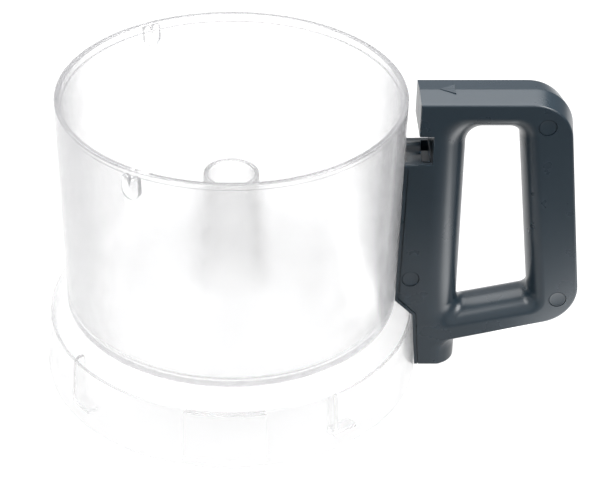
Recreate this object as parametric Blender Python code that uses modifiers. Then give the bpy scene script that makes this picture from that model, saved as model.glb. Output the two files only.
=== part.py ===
"""Food processor work bowl with its hollow handle and the lid interlock inside it.

Everything is laid out around the bowl's own axis, x = 0 and y = 0, with the rest face of the
skirt at z = 0 and the handle along +X. One empty then moves that layout so that the middle of
the whole object stands over the origin. The interlock pieces hang from a second empty, which
stands on the axis that they slide along.
"""
import math

import bmesh
import bpy
from mathutils import Matrix, Vector

MM = 0.001
GAP = 0.3 * MM                     # clearance between pieces that touch or fit into each other
OVER = 2.0 * MM                    # how far a cutter runs past the face that it opens
MITRE = 0.4                        # height that a corner of the 45 degree shoulder gains when
                                   # its faces move out, as a share of that move

# Bowl: turned clear moulding, radii at the outer faces
BOWL_HEIGHT = 150.5 * MM
RIM_RADIUS = 82.5 * MM
WALL_TAPER = 1.5 * MM
WALL_FOOT_RADIUS = RIM_RADIUS - WALL_TAPER
RIM_WALL = 2.9 * MM
RIM_ROUND = 0.7 * MM
BOWL_WALL = 2.8 * MM
SEAT_DEPTH = 4.0 * MM              # depth of the lid's seat step inside the rim
SEAT_STEP = 0.7 * MM
FLOOR_HEIGHT = 40.3 * MM           # top of the floor, level with the outer shoulder corner
FLOOR_THICKNESS = 2.7 * MM
FLOOR_FILLET = 5.0 * MM
TUBE_TOP = BOWL_HEIGHT - 43.9 * MM
TUBE_TOP_RADIUS = 13.3 * MM
TUBE_FOOT_RADIUS = 17.6 * MM
TUBE_WALL = 2.3 * MM
SHOULDER_DROP = 8.8 * MM
SHOULDER_WIDTH = 9.0 * MM
SKIRT_TOP_RADIUS = WALL_FOOT_RADIUS + SHOULDER_WIDTH
SKIRT_FLARE = 2.5 * MM
SKIRT_RADIUS = SKIRT_TOP_RADIUS + SKIRT_FLARE
SKIRT_WALL = 2.4 * MM
BOWL_STEPS = 72

# Lid catches: two horseshoe nubs outside the wall, the handle's notch is the third
CATCH_AZIMUTHS = (119.0, -121.5)
CATCH_WIDTH = 9.2 * MM
CATCH_HEIGHT = 11.7 * MM
CATCH_TOP_DROP = 1.9 * MM
CATCH_PROUD = 2.4 * MM
CATCH_LOBE = 2.9 * MM              # the top of each lobe, to the side of the catch's middle
CATCH_SHOULDER = 1.4 * MM          # how far a lobe falls away to the catch's side
CATCH_SLOT = 1.9 * MM              # width of the slot at its lower end
CATCH_SLOT_DEPTH = 4.6 * MM

# Four bayonet hooks and three pads inside the skirt
BAYONET_AZIMUTHS = (-57.4, 32.6, 122.6, -147.4)
BAYONET_RIB = 2.0 * MM
BAYONET_REACH = 4.2 * MM
BAYONET_LEDGE_ANGLE = 8.2
BAYONET_LEDGE_Z = 7.0 * MM
BAYONET_LEDGE = 2.0 * MM
PAD_AZIMUTHS = (-92.0, 88.0, 178.0)
PAD_ANGLE = 25.0
PAD_THICKNESS = 1.4 * MM
PAD_BOTTOM = 3.0 * MM

# Handle outline in the X-Z plane, at its flat side faces
HANDLE_HALF = 12.7 * MM            # half the thickness across the two side faces
HANDLE_CROWN = 1.7 * MM            # how far the edges stand out at the parting plane
HANDLE_WALL = 2.4 * MM
HANDLE_TOP = BOWL_HEIGHT - 0.4 * MM
ARM_END = RIM_RADIUS + 5.0 * MM
ARM_END_ROUND = 1.5 * MM
NOTCH_ROOF = HANDLE_TOP - 16.7 * MM
NOTCH_FLOOR = NOTCH_ROOF - 15.1 * MM
NOTCH_DEPTH_X = ARM_END + 6.8 * MM
GRIP_TOP_X = RIM_RADIUS + 74.4 * MM  # where the grip's outer edge would meet the handle's top
GRIP_LEAN = 0.122                  # the grip's outer edge runs outwards by this much per drop
UNDERSIDE_X = RIM_RADIUS + 31.4 * MM
UNDERSIDE_Z = 17.4 * MM
UNDERSIDE_RISE = 0.2386
TOP_CORNER = 20.0 * MM
BOTTOM_CORNER = 19.5 * MM
FOOT_BOTTOM = 1.0 * MM
FOOT_X = SKIRT_RADIUS + 7.1 * MM   # middle of the foot's round outer side
FOOT_FILLET = 9.0 * MM

# Finger hole at the parting plane, and how far its rounding spreads on each side
HOLE_TOP = HANDLE_TOP - 15.0 * MM
HOLE_LEFT_TOP = RIM_RADIUS + 27.9 * MM
HOLE_LEFT_BOTTOM = RIM_RADIUS + 29.3 * MM
HOLE_RIGHT_TOP = RIM_RADIUS + 52.5 * MM
HOLE_BOTTOM = 32.6 * MM            # height of the lower left corner
HOLE_BOTTOM_RISE = 0.223
HOLE_ROUND_LEFT = 13.0 * MM
HOLE_ROUND_RIGHT = 8.0 * MM
HOLE_ROUND_TOP = 8.5 * MM
HOLE_ROUND_BOTTOM = 7.0 * MM
HOLE_CORNERS = (4.5 * MM, 4.5 * MM, 7.0 * MM, 9.5 * MM)
HOLE_CORNER_GROWTH = 4.0 * MM

# Interlock, on the rod's axis
ROD_X = FOOT_X + 1.6 * MM
ROD_RADIUS = 2.5 * MM
TRAVEL = 7.0 * MM
TIP_BOTTOM = 2.0 * MM
TIP_LENGTH = 6.0 * MM
TIP_RADIUS = 3.7 * MM
TIP_ROUND = 1.2 * MM
BUSH_LEDGE = TIP_BOTTOM + TIP_LENGTH + 1.0 * MM
BUSH_LENGTH = 7.6 * MM
BUSH_RADIUS = 5.5 * MM
SEAL_LENGTH = 3.6 * MM
FOOT_SOLID_TOP = BUSH_LEDGE + BUSH_LENGTH + SEAL_LENGTH + 3 * GAP + 0.9 * MM
SEAT_RADIUS = 7.2 * MM
SEAT_THICKNESS = 1.2 * MM
CLIP_Z = 60.0 * MM                 # lower edge of the retaining clip's groove in the rod
CLIP_RADIUS = 4.8 * MM
CLIP_THICKNESS = 0.8 * MM
CLIP_MOUTH = 3.2 * MM
GROOVE_DEPTH = 0.6 * MM
WASHER_RADIUS = 5.6 * MM
WASHER_THICKNESS = 1.0 * MM
SPRING_RADIUS = 4.3 * MM           # to the middle of the wire
SPRING_WIRE = 0.5 * MM
SPRING_TURNS = 8
SPRING_POINTS = 12                 # points of the coil's path in each turn
HEAD_NEAR = RIM_RADIUS + 0.4 * MM
HEAD_FAR = HEAD_NEAR + 7.1 * MM
HEAD_LANDING = NOTCH_FLOOR - 1.1 * MM
HEAD_CREST = NOTCH_FLOOR + 3.2 * MM
HEAD_CREST_RADIUS = 3.4 * MM
HEAD_CREST_INSET = 0.8 * MM
HEAD_RAMP_FOOT = 0.6 * MM          # how far past the parting plane the ramp reaches
HEAD_CHAMFER = 1.2 * MM
SLIDER_PLATE = 5.2 * MM
SLIDER_PLATE_HALF = 5.0 * MM
SLIDER_BOSS_RADIUS = 5.0 * MM
SLIDER_BOSS_LENGTH = 15.0 * MM
SOCKET_DEPTH = 10.0 * MM
PIN_RADIUS = 1.0 * MM
PIN_DROP = 10.0 * MM
TROUGH_X = NOTCH_DEPTH_X - GAP
GUIDE_Z = NOTCH_FLOOR - TRAVEL - 27.3 * MM
GUIDE_THICKNESS = 3.0 * MM
GUIDE_NECK = 3.6 * MM              # upper guide bush: neck held by the guide plates
GUIDE_FLANGE = 5.0 * MM
GUIDE_FLANGE_THICKNESS = 1.2 * MM

# Web on the bowl that the two handle shells clamp, and the peg that runs through it
WEB_HALF = 1.6 * MM
WEB_BOTTOM = 44.0 * MM
WEB_TOP = NOTCH_FLOOR - TRAVEL - 15.3 * MM
WEB_REACH = WALL_FOOT_RADIUS + 11.0 * MM
PEG_X = RIM_RADIUS + 5.5 * MM
PEG_Z = WEB_TOP - 10.0 * MM
PEG_RADIUS = 2.0 * MM

# Screws through the front shell into the rear one, places in X and Z
SCREW_PLACES = (
    ("upper_grip", RIM_RADIUS + 64.2 * MM, HANDLE_TOP - 11.7 * MM),
    ("lower_grip", RIM_RADIUS + 77.7 * MM, 41.0 * MM),
    ("column", RIM_RADIUS + 4.9 * MM, 53.2 * MM),
)
SCREW_SHANK = 1.5 * MM
SCREW_HEAD = 2.9 * MM
SCREW_HEAD_HEIGHT = 2.0 * MM
SCREW_LENGTH = 15.0 * MM
SCREW_SLOT = 0.5 * MM              # cross recess: half the width, half the length and the depth
SCREW_ARM = 1.8 * MM
SCREW_RECESS = 1.1 * MM
PLUG_RADIUS = 4.2 * MM
PLUG_THICKNESS = 1.8 * MM
PLUG_SINK = 0.3 * MM
PLUG_EDGE = 0.3 * MM
BOSS_RADIUS = 4.6 * MM
BOSS_ROOT = 1.0 * MM               # how far inside the side face a boss, plate or peg starts


# ---------------------------------------------------------------- scene helpers

def clear_scene():
    for old in list(bpy.data.objects):
        bpy.data.objects.remove(old, do_unlink=True)


def collection(name):
    group = bpy.data.collections.new(name)
    bpy.context.scene.collection.children.link(group)
    return group


def material(name, colour, roughness, metallic=0.0, transmission=0.0):
    made = bpy.data.materials.new(name)
    made.use_nodes = True
    shader = made.node_tree.nodes["Principled BSDF"]
    shader.inputs["Base Color"].default_value = (*colour, 1.0)
    shader.inputs["Roughness"].default_value = roughness
    shader.inputs["Metallic"].default_value = metallic
    shader.inputs["Transmission Weight"].default_value = transmission
    made.diffuse_color = (*colour, 1.0)
    return made


def empty(name, x, parent=None):
    marker = bpy.data.objects.new(name, None)
    marker.location = (x, 0.0, 0.0)
    marker.parent = parent
    PARTS.objects.link(marker)
    return marker


def add_piece(name, mesh, parent, finish):
    piece = bpy.data.objects.new(name, mesh)
    piece.parent = parent
    mesh.materials.append(finish)
    PARTS.objects.link(piece)
    return piece


def add_cutter(name, mesh, parent):
    tool = bpy.data.objects.new(name, mesh)
    tool.parent = parent
    tool.hide_render = True
    tool.display_type = "WIRE"
    TOOLS.objects.link(tool)
    return tool


def combine(piece, tool, operation):
    step = piece.modifiers.new(operation.lower() + "_" + tool.name, "BOOLEAN")
    step.operation = operation
    step.solver = "EXACT"
    step.object = tool


def cut(piece, *tools):
    for tool in tools:
        combine(piece, tool, "DIFFERENCE")


def join(piece, *tools):
    for tool in tools:
        combine(piece, tool, "UNION")


def smooth(piece, degrees=32.0):
    piece.data.shade_smooth()
    piece.data.set_sharp_from_angle(angle=math.radians(degrees))


# ---------------------------------------------------------------- mesh helpers

def mesh_from(name, form):
    bmesh.ops.recalc_face_normals(form, faces=form.faces)
    mesh = bpy.data.meshes.new(name)
    form.to_mesh(mesh)
    form.free()
    return mesh


def box_mesh(name, low, high):
    """A block between two corners."""
    form = bmesh.new()
    bmesh.ops.create_cube(form, size=1.0)
    size = [h - l for l, h in zip(low, high)]
    middle = [(h + l) / 2 for l, h in zip(low, high)]
    bmesh.ops.scale(form, vec=size, verts=form.verts)
    bmesh.ops.translate(form, vec=middle, verts=form.verts)
    return mesh_from(name, form)


def rod_mesh(name, radius, low, high, x=0.0, segments=24):
    """An upright round bar from height low to height high."""
    form = bmesh.new()
    bmesh.ops.create_cone(form, cap_ends=True, segments=segments, radius1=radius,
                          radius2=radius, depth=high - low)
    bmesh.ops.translate(form, vec=(x, 0.0, (low + high) / 2), verts=form.verts)
    return mesh_from(name, form)


def cross_rod_mesh(name, radius, low, high, x, z, segments=24):
    """A round bar along Y from low to high."""
    form = bmesh.new()
    bmesh.ops.create_cone(form, cap_ends=True, segments=segments, radius1=radius,
                          radius2=radius, depth=high - low)
    bmesh.ops.rotate(form, cent=(0, 0, 0), matrix=Matrix.Rotation(math.radians(90), 3, "X"),
                     verts=form.verts)
    bmesh.ops.translate(form, vec=(x, (low + high) / 2, z), verts=form.verts)
    return mesh_from(name, form)


def turned_mesh(name, profile):
    """An open ring of edges in the X-Z plane that a Screw modifier turns."""
    mesh = bpy.data.meshes.new(name)
    points = [(r, 0.0, z) for r, z in profile]
    count = len(points)
    mesh.from_pydata(points, [(i, (i + 1) % count) for i in range(count)], [])
    return mesh


def turn(piece, steps):
    screw = piece.modifiers.new("turn", "SCREW")
    screw.axis = "Z"
    screw.angle = math.tau
    screw.steps = steps
    screw.render_steps = steps
    screw.use_merge_vertices = True
    screw.merge_threshold = 0.00001
    screw.use_smooth_shade = True


def arc(centre, radius, start, end, steps):
    """Points of an arc in the profile plane, angles in degrees."""
    angles = [start + (end - start) * i / steps for i in range(steps + 1)]
    return [(centre[0] + radius * math.cos(math.radians(a)),
             centre[1] + radius * math.sin(math.radians(a))) for a in angles]


def wedge_mesh(name, azimuth, sweep, low, high, steps=4):
    """A block bent round the bowl's axis, from azimuth on by sweep degrees.

    low and high are its lower and upper face: inner radius, outer radius and height.
    """
    form = bmesh.new()
    rings = []
    for i in range(steps + 1):
        angle = math.radians(azimuth + sweep * i / steps)
        corners = ((low[0], low[2]), (low[1], low[2]), (high[1], high[2]), (high[0], high[2]))
        rings.append([form.verts.new((r * math.cos(angle), r * math.sin(angle), z))
                      for r, z in corners])
    for first, second in zip(rings, rings[1:]):
        for i in range(4):
            form.faces.new((first[i], first[(i + 1) % 4], second[(i + 1) % 4], second[i]))
    form.faces.new(rings[0])
    form.faces.new(rings[-1])
    return mesh_from(name, form)


def loft_mesh(name, loops):
    """A closed solid through loops that have the same number of points."""
    form = bmesh.new()
    rings = [[form.verts.new(point) for point in loop] for loop in loops]
    count = len(rings[0])
    for first, second in zip(rings, rings[1:]):
        for i in range(count):
            j = (i + 1) % count
            form.faces.new((first[i], first[j], second[j], second[i]))
    form.faces.new(rings[0])
    form.faces.new(rings[-1])
    return mesh_from(name, form)


def rounded_loop(corners, inset=0.0, segments=5):
    """Outline through corners (x, z, radius), anticlockwise, moved inwards by inset.

    An outer corner loses the inset from its radius and an inner corner gains it, so loops at
    different insets keep the same number of points.
    """
    count = len(corners)
    points = [Vector(corner[:2]) for corner in corners]
    moved = []
    for i, point in enumerate(points):
        before = (point - points[i - 1]).normalized()
        after = (points[(i + 1) % count] - point).normalized()
        middle = Vector((-before.y, before.x)) + Vector((-after.y, after.x))
        moved.append(point + middle * (2.0 * inset / middle.length_squared))
    loop = []
    for i, point in enumerate(moved):
        radius = corners[i][2]
        if radius <= 0.0:
            loop.append(tuple(point))
            continue
        before = (point - moved[i - 1]).normalized()
        after = (moved[(i + 1) % count] - point).normalized()
        sign = 1.0 if before.cross(after) > 0 else -1.0
        radius = max(radius - sign * inset, GAP)
        bend = before.angle(after)
        start = point - before * (radius * math.tan(bend / 2))
        centre = start + Vector((-before.y, before.x)) * (radius * sign)
        spoke = start - centre
        for k in range(segments + 1):
            angle = sign * bend * k / segments
            turned = Vector((spoke.x * math.cos(angle) - spoke.y * math.sin(angle),
                             spoke.x * math.sin(angle) + spoke.y * math.cos(angle)))
            loop.append(tuple(centre + turned))
    return loop


# ---------------------------------------------------------------- bowl

def wall_radius(z):
    """Outer radius of the bowl's wall at height z."""
    share = (z - FLOOR_HEIGHT) / (BOWL_HEIGHT - FLOOR_HEIGHT)
    return WALL_FOOT_RADIUS + (RIM_RADIUS - WALL_FOOT_RADIUS) * share


def outer_profile(offset=0.0):
    """The bowl's outer face from the rim to the rest face, moved outwards by offset."""
    shoulder = FLOOR_HEIGHT - SHOULDER_DROP
    return [
        (RIM_RADIUS + offset, BOWL_HEIGHT),
        (WALL_FOOT_RADIUS + offset, FLOOR_HEIGHT + offset * MITRE),
        (SKIRT_TOP_RADIUS + offset, shoulder + offset * MITRE),
        (SKIRT_RADIUS + offset, 0.0),
    ]


def skirt_inner_radius(z):
    share = z / (FLOOR_HEIGHT - SHOULDER_DROP)
    return SKIRT_RADIUS + (SKIRT_TOP_RADIUS - SKIRT_RADIUS) * share - SKIRT_WALL


def bowl_profile():
    floor_under = FLOOR_HEIGHT - FLOOR_THICKNESS
    shoulder = FLOOR_HEIGHT - SHOULDER_DROP
    seat_z = BOWL_HEIGHT - SEAT_DEPTH
    inner_rim = RIM_RADIUS - RIM_WALL
    inner_foot = WALL_FOOT_RADIUS - BOWL_WALL
    edge_z = BOWL_HEIGHT - RIM_ROUND
    profile = arc((RIM_RADIUS - RIM_ROUND, edge_z), RIM_ROUND, 90, 0, 3)
    profile += outer_profile()[1:3]
    profile += [(SKIRT_RADIUS, 0.0), (SKIRT_RADIUS - SKIRT_WALL, 0.0)]
    profile += [(skirt_inner_radius(shoulder), shoulder - MITRE * SKIRT_WALL)]
    profile += [(WALL_FOOT_RADIUS - (1.0 - MITRE) * SKIRT_WALL, floor_under)]
    profile += [(TUBE_FOOT_RADIUS - TUBE_WALL, floor_under)]
    profile += [(TUBE_TOP_RADIUS - TUBE_WALL, TUBE_TOP), (TUBE_TOP_RADIUS, TUBE_TOP)]
    profile += [(TUBE_FOOT_RADIUS, FLOOR_HEIGHT)]
    profile += arc((inner_foot - FLOOR_FILLET, FLOOR_HEIGHT + FLOOR_FILLET), FLOOR_FILLET,
                   270, 360, 4)
    profile += [(inner_rim - SEAT_STEP, seat_z), (inner_rim, seat_z + 0.3 * SEAT_STEP)]
    profile += arc((inner_rim + RIM_ROUND, edge_z), RIM_ROUND, 180, 90, 2)
    return profile


def catch_mesh(name, azimuth):
    """A horseshoe nub: a plate with a round lower end and a slot open at its top."""
    half = CATCH_WIDTH / 2
    slot = CATCH_SLOT / 2
    top = BOWL_HEIGHT - CATCH_TOP_DROP
    low = top - CATCH_HEIGHT
    outline = arc((0.0, low + half), half, 180, 360, 8)
    outline += [(half, top - CATCH_SHOULDER), (CATCH_LOBE, top), (slot, top - CATCH_SLOT_DEPTH),
                (-slot, top - CATCH_SLOT_DEPTH), (-CATCH_LOBE, top), (-half, top - CATCH_SHOULDER)]
    root = wall_radius(low) - RIM_WALL / 2
    proud = RIM_RADIUS + CATCH_PROUD
    mesh = loft_mesh(name, [[(r, x, z) for x, z in outline] for r in (root, proud)])
    mesh.transform(Matrix.Rotation(math.radians(azimuth), 4, "Z"))
    return mesh


def skirt_section(z, inwards):
    """Inner radius, outer radius and height of what is moulded onto the skirt's inner face."""
    face = skirt_inner_radius(z)
    return face - inwards, face + SKIRT_WALL / 2, z


def bayonet_meshes(azimuth):
    """One hook inside the skirt: an upright rib with a ledge at its lower end."""
    low = BAYONET_LEDGE_Z
    top = FLOOR_HEIGHT - SHOULDER_DROP
    inner = skirt_inner_radius(top) - BAYONET_REACH
    foot = skirt_section(low, skirt_inner_radius(low) - inner)
    ledge_top = low + BAYONET_LEDGE
    head = skirt_section(ledge_top, skirt_inner_radius(ledge_top) - inner)
    rib_angle = math.degrees(BAYONET_RIB / SKIRT_RADIUS)
    rib = wedge_mesh("bayonet_rib", azimuth, rib_angle, foot, skirt_section(top, BAYONET_REACH), 1)
    ledge = wedge_mesh("bayonet_ledge", azimuth, BAYONET_LEDGE_ANGLE, foot, head, 3)
    return rib, ledge


def pad_mesh(azimuth):
    top = FLOOR_HEIGHT - SHOULDER_DROP - PAD_BOTTOM
    return wedge_mesh("skirt_pad", azimuth - PAD_ANGLE / 2, PAD_ANGLE,
                      skirt_section(PAD_BOTTOM, PAD_THICKNESS),
                      skirt_section(top, PAD_THICKNESS), 5)


def make_bowl():
    bowl = add_piece("bowl", turned_mesh("bowl", bowl_profile()), AXIS, CLEAR)
    turn(bowl, BOWL_STEPS)
    for azimuth in CATCH_AZIMUTHS:
        join(bowl, add_cutter("catch", catch_mesh("catch", azimuth), AXIS))
    for azimuth in BAYONET_AZIMUTHS:
        for mesh in bayonet_meshes(azimuth):
            join(bowl, add_cutter("bayonet", mesh, AXIS))
    for azimuth in PAD_AZIMUTHS:
        join(bowl, add_cutter("pad", pad_mesh(azimuth), AXIS))
    web = box_mesh("web", (WALL_FOOT_RADIUS - BOWL_WALL / 2, -WEB_HALF, WEB_BOTTOM),
                   (WEB_REACH, WEB_HALF, WEB_TOP))
    join(bowl, add_cutter("web", web, AXIS))
    column = SCREW_PLACES[2]
    hole = cross_rod_mesh("web_screw_hole", SCREW_SHANK + GAP, -2 * WEB_HALF, 2 * WEB_HALF,
                          column[1], column[2], 16)
    peg_hole = cross_rod_mesh("web_peg_hole", PEG_RADIUS + GAP, -2 * WEB_HALF, 2 * WEB_HALF,
                              PEG_X, PEG_Z, 16)
    cut(bowl, add_cutter("web_screw_hole", hole, AXIS),
        add_cutter("web_peg_hole", peg_hole, AXIS))
    return bowl


# ---------------------------------------------------------------- handle outlines

def inside_bowl():
    """X well inside the bowl's outer face, where the handle's blank and its cutters start."""
    return WALL_FOOT_RADIUS - 5 * OVER


def grip_edge(z, crown):
    """X of the grip's outer edge at height z."""
    return GRIP_TOP_X + crown + (HANDLE_TOP - z) * GRIP_LEAN


def underside(x, crown):
    return UNDERSIDE_Z - crown + (x - UNDERSIDE_X) * UNDERSIDE_RISE


def handle_corners(y):
    """Corners (x, z, radius) of the handle's outline in the plane at distance y from parting."""
    y = min(abs(y), HANDLE_HALF)
    crown = HANDLE_CROWN * (1.0 - y / HANDLE_HALF)
    foot = FOOT_X + math.sqrt(HANDLE_HALF ** 2 - y ** 2)
    top = HANDLE_TOP + crown
    low_x = GRIP_TOP_X + crown + GRIP_LEAN * (HANDLE_TOP - underside(0.0, crown))
    low_x /= 1.0 + GRIP_LEAN * UNDERSIDE_RISE
    return [
        (inside_bowl(), FOOT_BOTTOM, 0.0),
        (foot, FOOT_BOTTOM, 0.0),
        (foot, underside(foot, crown), FOOT_FILLET),
        (low_x, underside(low_x, crown), BOTTOM_CORNER),
        (grip_edge(top, crown), top, TOP_CORNER),
        (ARM_END, top, 0.0),
        (ARM_END, NOTCH_ROOF, ARM_END_ROUND),
        (NOTCH_DEPTH_X, NOTCH_ROOF, 0.0),
        (NOTCH_DEPTH_X, NOTCH_FLOOR, 0.0),
        (inside_bowl(), NOTCH_FLOOR, 0.0),
    ]


def hole_corners(y):
    """Corners of the finger hole in the plane at distance y, with its edges rounded over."""
    y = min(abs(y), HANDLE_HALF)
    spread = 1.0 - math.sqrt(1.0 - (y / HANDLE_HALF) ** 2)
    left = HOLE_ROUND_LEFT * spread
    right = HOLE_ROUND_RIGHT * spread
    top = HOLE_TOP + HOLE_ROUND_TOP * spread
    grow = HOLE_CORNER_GROWTH * spread
    low = HOLE_BOTTOM - HOLE_ROUND_BOTTOM * spread
    corner_left = HOLE_LEFT_BOTTOM - left
    bottom_left = low - left * HOLE_BOTTOM_RISE
    lean = HOLE_RIGHT_TOP + right + GRIP_LEAN * (HOLE_TOP - low)
    bottom_right_x = lean + GRIP_LEAN * HOLE_BOTTOM_RISE * HOLE_LEFT_BOTTOM
    bottom_right_x /= 1.0 + GRIP_LEAN * HOLE_BOTTOM_RISE
    bottom_right_z = low + (bottom_right_x - HOLE_LEFT_BOTTOM) * HOLE_BOTTOM_RISE
    radii = [radius + grow for radius in HOLE_CORNERS]
    return [
        (corner_left, bottom_left, radii[0]),
        (bottom_right_x, bottom_right_z, radii[1]),
        (HOLE_RIGHT_TOP + right - GRIP_LEAN * (top - HOLE_TOP), top, radii[2]),
        (HOLE_LEFT_TOP - left, top, radii[3]),
    ]


def levels(steps, side):
    """Planes from a side face to just short of the parting plane, closer near the face."""
    planes = []
    for i in range(steps):
        planes.append(HANDLE_HALF * math.cos(math.radians(90.0 * i / steps)))
    planes.append(GAP / 2)
    return [side * y for y in planes]


def at_plane(loop, y):
    return [(x, y, z) for x, z in loop]


def handle_blank(name, side):
    loops = [at_plane(rounded_loop(handle_corners(y)), y) for y in levels(6, side)]
    return loft_mesh(name, loops)


def hole_cutter(name, side):
    """The finger hole, running past the side face and the parting plane."""
    planes = levels(8, side)
    loops = [at_plane(rounded_loop(hole_corners(y), 0.0, 5), y) for y in planes]
    loops.insert(0, at_plane(rounded_loop(hole_corners(HANDLE_HALF), 0.0, 5),
                             planes[0] + side * OVER))
    loops.append(at_plane(rounded_loop(hole_corners(0.0), 0.0, 5), -side * OVER))
    return loft_mesh(name, loops)


def cavity_blank(name, side):
    start = HANDLE_HALF - HANDLE_WALL
    planes = [side * start * (1.0 - i / 3) for i in range(3)] + [-side * OVER]
    loops = [at_plane(rounded_loop(handle_corners(y), HANDLE_WALL, 4), y) for y in planes]
    return loft_mesh(name, loops)


def hole_island(name, side):
    """The wall that is left standing round the finger hole inside the cavity."""
    start = HANDLE_HALF - HANDLE_WALL
    loops = []
    for share in (1.2, 1.0, 0.97, 0.9, 0.75, 0.5, 0.25, 0.0):
        y = start * share
        corners = hole_corners(y + HANDLE_WALL)
        loops.append(at_plane(rounded_loop(corners, -0.7 * HANDLE_WALL, 4), side * y))
    loops.append([(x, -side * 2 * OVER, z) for x, _, z in loops[-1]])
    return loft_mesh(name, loops)


def envelope_mesh(name, offset):
    """The bowl's outer form as a closed solid, moved outwards by offset."""
    profile = outer_profile(offset)
    over = 30.0 * MM
    top = (profile[0][0], BOWL_HEIGHT + over)
    bottom = (profile[-1][0], -over)
    core = 20.0 * MM
    return turned_mesh(name, [top] + profile + [bottom, (core, -over), (core, top[1])])


def make_envelope(name, offset):
    envelope = add_cutter(name, envelope_mesh(name, offset), AXIS)
    turn(envelope, BOWL_STEPS)
    return envelope


# ---------------------------------------------------------------- handle shells

def make_cavity(side, tag):
    cavity = add_cutter("cavity_" + tag, cavity_blank("cavity_" + tag, side), AXIS)
    cut(cavity, add_cutter("island_" + tag, hole_island("island_" + tag, side), AXIS))
    cut(cavity, make_envelope("inner_wall_" + tag, GAP + HANDLE_WALL))
    foot = box_mesh("foot_fill_" + tag, (inside_bowl(), -2 * HANDLE_HALF, FOOT_BOTTOM),
                    (FOOT_X + HANDLE_HALF + HANDLE_CROWN, 2 * HANDLE_HALF, FOOT_SOLID_TOP))
    cut(cavity, add_cutter("foot_fill_" + tag, foot, AXIS))
    return cavity


def inner_reach(side, end):
    """From inside the side wall to the distance end from the parting plane, lower value first."""
    return sorted((side * (HANDLE_HALF - BOSS_ROOT), side * end))


def make_shell(name, side):
    tag = "front" if side < 0 else "rear"
    shell = add_piece(name, handle_blank(name, side), AXIS, SLATE)
    cut(shell, make_cavity(side, tag))
    for place, x, z in SCREW_PLACES:
        end = WEB_HALF + GAP if place == "column" else GAP / 2
        boss = cross_rod_mesh("boss", BOSS_RADIUS, *inner_reach(side, end), x, z, 20)
        join(shell, add_cutter("boss_" + tag + "_" + place, boss, AXIS))
    low, high = inner_reach(side, GAP / 2)
    guide = box_mesh("guide", (WEB_REACH + 2 * GAP, low, GUIDE_Z),
                     (HOLE_LEFT_TOP - BOSS_ROOT, high, GUIDE_Z + GUIDE_THICKNESS))
    join(shell, add_cutter("guide_" + tag, guide, AXIS))
    cut(shell, add_cutter("hole_" + tag, hole_cutter("hole_" + tag, side), AXIS))
    cut(shell, make_envelope("bowl_seat_" + tag, GAP))
    cut_shell_openings(shell, tag)
    return shell


def cut_shell_openings(shell, tag):
    """The web's slot, the slider's trough and the bores on the rod's axis."""
    wide = HANDLE_HALF - HANDLE_WALL
    slot = box_mesh("web_slot", (inside_bowl(), -WEB_HALF - GAP, WEB_BOTTOM - GAP),
                    (WEB_REACH + GAP, WEB_HALF + GAP, WEB_TOP + GAP))
    trough = box_mesh("trough", (inside_bowl(), -wide, WEB_TOP + GAP),
                      (TROUGH_X, wide, NOTCH_FLOOR + OVER))
    tip_bore = rod_mesh("tip_bore", TIP_RADIUS + GAP, FOOT_BOTTOM - OVER, BUSH_LEDGE + GAP, ROD_X)
    pocket = rod_mesh("bush_pocket", BUSH_RADIUS + GAP, BUSH_LEDGE, FOOT_SOLID_TOP + OVER, ROD_X)
    guide_bore = rod_mesh("guide_bore", GUIDE_NECK + GAP, GUIDE_Z - OVER,
                          GUIDE_Z + GUIDE_THICKNESS + OVER, ROD_X)
    for mesh in (slot, trough, tip_bore, pocket, guide_bore):
        cut(shell, add_cutter(mesh.name + "_" + tag, mesh, AXIS))


def plug_face():
    """Distance of a plug's outer face from the parting plane."""
    return HANDLE_HALF - PLUG_SINK


def screw_head_face():
    """Distance of a screw head's outer face from the parting plane."""
    return plug_face() - PLUG_THICKNESS - GAP


def make_front_shell():
    shell = make_shell("handle_front_shell", -1)
    for place, x, z in SCREW_PLACES:
        under_plug = screw_head_face() + GAP / 2
        under_head = screw_head_face() - SCREW_HEAD_HEIGHT - GAP
        sizes = (
            ("plug_seat", PLUG_RADIUS + GAP, -HANDLE_HALF - OVER, -under_plug),
            ("head_seat", SCREW_HEAD + GAP, -under_plug - GAP, -under_head),
            ("shank_hole", SCREW_SHANK + GAP, -under_head - GAP, OVER),
        )
        for label, radius, low, high in sizes:
            bore = cross_rod_mesh(label, radius, low, high, x, z, 20)
            cut(shell, add_cutter(label + "_" + place, bore, AXIS))
    smooth(shell)


def make_rear_shell():
    shell = make_shell("handle_rear_shell", 1)
    tip = -screw_head_face() + SCREW_HEAD_HEIGHT + SCREW_LENGTH + 2 * GAP
    for place, x, z in SCREW_PLACES:
        pilot = cross_rod_mesh("pilot", SCREW_SHANK + GAP, -OVER, tip, x, z, 20)
        cut(shell, add_cutter("pilot_" + place, pilot, AXIS))
    peg = cross_rod_mesh("peg", PEG_RADIUS, -WEB_HALF, HANDLE_HALF - BOSS_ROOT, PEG_X, PEG_Z, 16)
    join(shell, add_cutter("peg", peg, AXIS))
    smooth(shell)


# ---------------------------------------------------------------- fasteners

def make_screw(place, x, z):
    low = -screw_head_face()
    neck = low + SCREW_HEAD_HEIGHT
    head = cross_rod_mesh("screw_" + place, SCREW_HEAD, low, neck, x, z, 20)
    screw = add_piece("screw_" + place, head, AXIS, STEEL)
    shank = cross_rod_mesh("shank_" + place, SCREW_SHANK, neck - GAP, neck + SCREW_LENGTH, x, z,
                           16)
    join(screw, add_cutter("shank_" + place, shank, AXIS))
    for label, wide, tall in (("a", SCREW_ARM, SCREW_SLOT), ("b", SCREW_SLOT, SCREW_ARM)):
        slot = box_mesh("recess_" + label, (x - wide, low - OVER, z - tall),
                        (x + wide, low + SCREW_RECESS, z + tall))
        cut(screw, add_cutter("recess_" + label + "_" + place, slot, AXIS))
    smooth(screw)


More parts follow.
